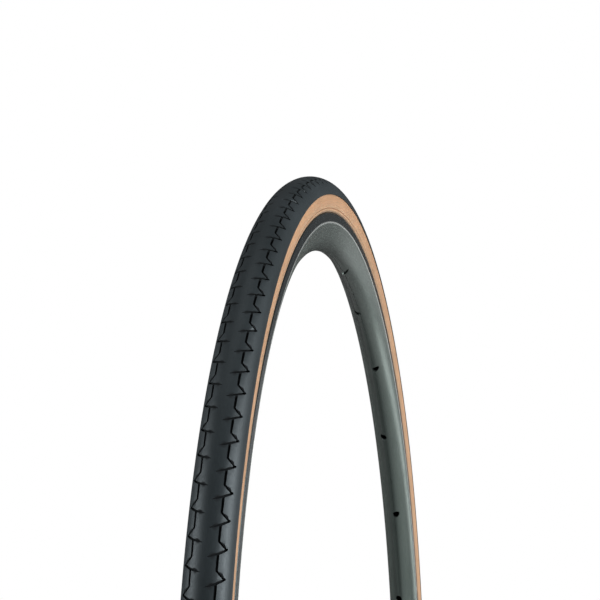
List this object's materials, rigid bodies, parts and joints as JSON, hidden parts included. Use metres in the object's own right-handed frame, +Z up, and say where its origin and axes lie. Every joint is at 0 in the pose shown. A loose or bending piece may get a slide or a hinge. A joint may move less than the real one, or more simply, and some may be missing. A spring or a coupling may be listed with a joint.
{
  "type": "bicycle tire on rim",
  "caption": "Narrow road clincher tire with a ribbed black tread and tan sidewalls, on a bare drilled aluminium rim, with inner tube and slim valve.",
  "frame": {"origin": "the wheel's centre, on its axis and in its middle plane", "axes": "+Y along the wheel's axis; +Z up, from the valve towards the rim's seam; the valve is at the lowest point and points up"},
  "size_m": [0.6718, 0.0224, 0.672],
  "materials": {
    "tread_rubber": "matt black rubber",
    "gum_rubber": "satin tan gum rubber",
    "casing_cord": "rubbered cord",
    "bead_steel": "drawn wire",
    "chafer_strip": "rubbered cloth",
    "rim_aluminium": "dark grey satin anodised",
    "tape_cloth": "woven cotton",
    "butyl_rubber": "dusted butyl",
    "valve_brass": "nickel plated",
    "core_brass": "bare brass",
    "seal_rubber": "matt",
    "cap_plastic": "moulded"
  },
  "bodies": {
    "rim_and_tire": {"tread": "tread_rubber", "sidewall_left": "gum_rubber", "sidewall_right": "gum_rubber", "casing_outer_ply": "casing_cord", "casing_inner_ply": "casing_cord", "bead_wire_left": "bead_steel", "bead_wire_right": "bead_steel", "chafer_left": "chafer_strip", "chafer_right": "chafer_strip", "rim": "rim_aluminium", "rim_joint_sleeve": "rim_aluminium", "rim_tape": "tape_cloth", "inner_tube": "butyl_rubber", "valve_boot": "butyl_rubber", "valve_stem": "valve_brass", "valve_core_body": "core_brass", "valve_core_gasket": "seal_rubber"},
    "rim_nut": {"valve_rim_nut": "valve_brass"},
    "lock_nut": {"valve_core_nut": "core_brass"},
    "core_pin": {"valve_core_pin": "core_brass", "valve_core_seal": "seal_rubber"},
    "cap": {"valve_cap": "cap_plastic"}
  },
  "joints": [
    {"name": "rim_nut_travel", "type": "slide", "parent": "rim_and_tire", "child": "rim_nut", "axis": [0, 0, 1], "range_m": [0, 0.0135]},
    {"name": "lock_nut_turn", "type": "hinge", "parent": "rim_and_tire", "child": "lock_nut", "pos_m": [0, 0, -0.2671], "axis": [0, 0, 1], "range_deg": [0, 1800]},
    {"name": "core_pin_press", "type": "slide", "parent": "rim_and_tire", "child": "core_pin", "axis": [0, 0, -1], "range_m": [0, 0.002]},
    {"name": "cap_pull", "type": "slide", "parent": "rim_and_tire", "child": "cap", "axis": [0, 0, 1], "range_m": [0, 0.02]}
  ],
  "couplings": [
    {"joint": "lock_nut_turn", "follows": "core_pin_press", "rad_per_m": 15708}
  ]
}
